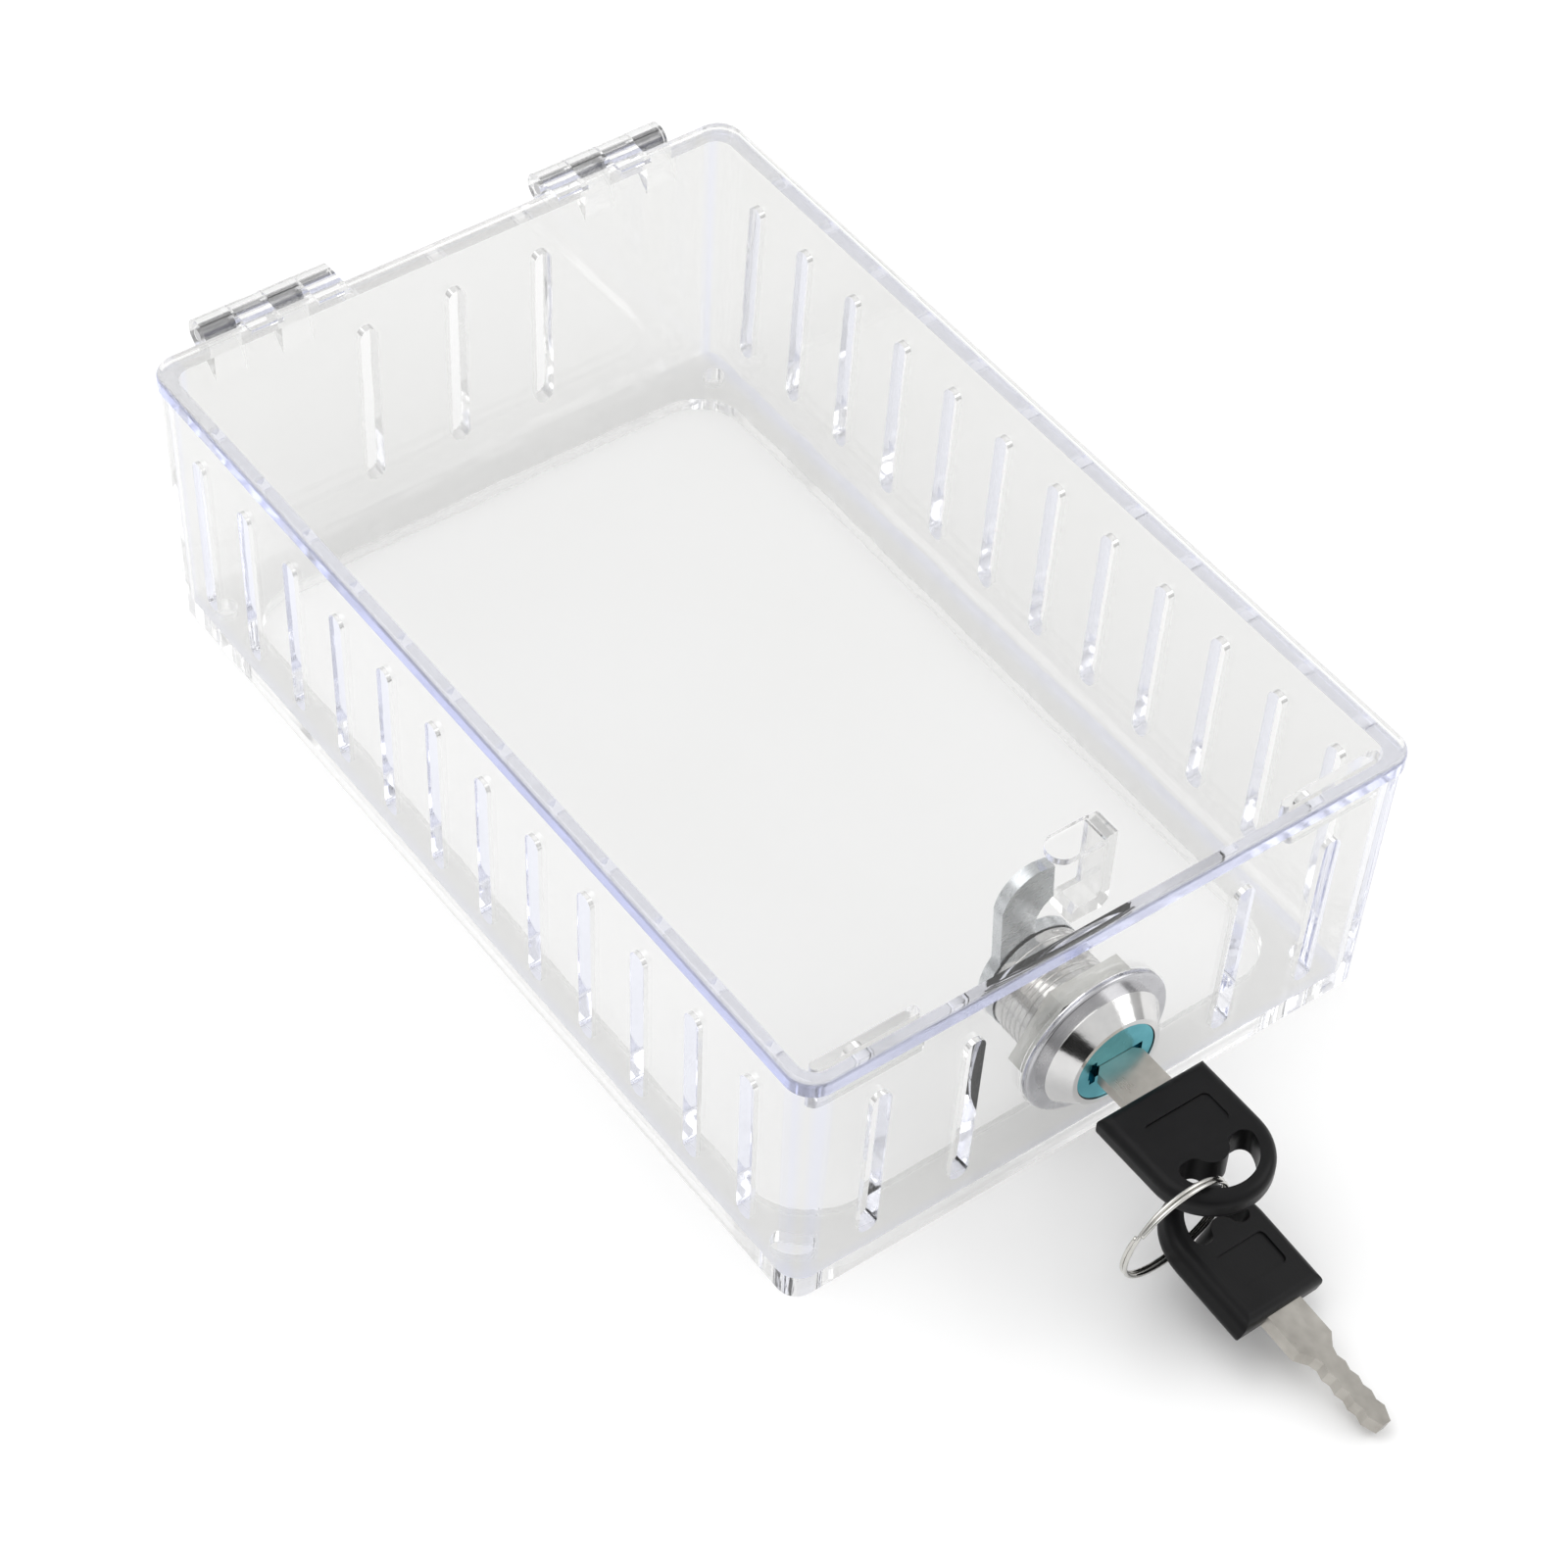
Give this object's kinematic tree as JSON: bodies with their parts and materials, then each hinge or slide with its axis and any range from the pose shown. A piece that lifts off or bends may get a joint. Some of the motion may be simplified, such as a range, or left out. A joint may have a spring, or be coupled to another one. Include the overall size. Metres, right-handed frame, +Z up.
{
  "type": "lockable wall box",
  "caption": "Clear rigid plastic wall box with slotted walls, an open-bordered base, a hinged lid held by a key-operated cam lock, and keys on a split ring.",
  "frame": {"origin": "centre of the base's underside, at the centre of the four base screw holes", "axes": "+Z up from the base to the lid, -Y towards the lock, +Y towards the hinges, X across the box"},
  "size_m": [0.108, 0.236, 0.0506],
  "materials": {
    "clear_plastic": "clear gloss",
    "pin_steel": "plain",
    "lock_chrome": "polished",
    "nut_zinc": "zinc plated",
    "plug_teal": "blue-green plated",
    "cam_zinc": "zinc plated",
    "key_steel": "nickel plated",
    "bow_black": "fine moulded grain",
    "ring_steel": "nickel plated"
  },
  "bodies": {
    "box": {"box_body": "clear_plastic", "hinge_pin_left": "pin_steel", "hinge_pin_right": "pin_steel", "lock_washer": "lock_chrome", "lock_housing": "lock_chrome", "lock_nut": "nut_zinc"},
    "lid": {"lid": "clear_plastic"},
    "lock_core": {"lock_plug": "plug_teal", "lock_cam": "cam_zinc", "cam_washer": "cam_zinc", "cam_screw": "cam_zinc"},
    "key_1": {"key_1_blade": "key_steel", "key_1_bow": "bow_black"},
    "ring": {"split_ring": "ring_steel"},
    "key_2": {"key_2_blade": "key_steel", "key_2_bow": "bow_black"}
  },
  "joints": [
    {"name": "lid_hinge", "type": "hinge", "parent": "box", "child": "lid", "pos_m": [0, 0.0872, 0.048], "axis": [-1, 0, 0], "range_deg": [0, 175]},
    {"name": "lock_turn", "type": "hinge", "parent": "box", "child": "lock_core", "pos_m": [-0.00165, -0.08, 0.0237], "axis": [0, 1, 0], "range_deg": [-68, 20]},
    {"name": "key_1_slide", "type": "slide", "parent": "lock_core", "child": "key_1", "axis": [0, -1, 0], "range_m": [0, 0.025]},
    {"name": "ring_swing", "type": "hinge", "parent": "key_1", "child": "ring", "pos_m": [-0.00263, -0.11234, 0.02367], "axis": [-0.5535, -0.1297, 0.8227], "range_deg": [0, 20]},
    {"name": "key_2_swing", "type": "hinge", "parent": "ring", "child": "key_2", "pos_m": [-0.00491, -0.1109, 0.01122], "axis": [-0.3467, 0.1894, -0.9187], "range_deg": [0, 20]}
  ]
}
